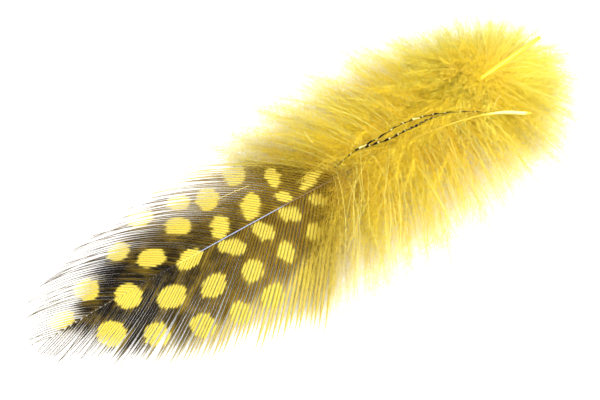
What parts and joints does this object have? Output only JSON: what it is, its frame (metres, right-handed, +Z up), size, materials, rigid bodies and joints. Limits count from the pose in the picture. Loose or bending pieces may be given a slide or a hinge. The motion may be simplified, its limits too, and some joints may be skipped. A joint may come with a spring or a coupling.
{
  "type": "guinea fowl feather",
  "caption": "Small spotted guinea fowl body feather dyed yellow, lying flat: a dark dotted vane at the tip, thick fluffy down round the quill.",
  "frame": {"origin": "on the resting plane, under the shaft where the down is thickest", "axes": "+X along the shaft towards the quill's end, +Y across the feather, +Z up from the resting plane"},
  "size_m": [0.0957, 0.0446, 0.0071],
  "materials": {
    "yellow_down": "soft matt barbs and down, dyed yellow, spotted dark brown on the vane"
  },
  "bodies": {
    "root": {"feather": "yellow_down"}
  },
  "joints": []
}
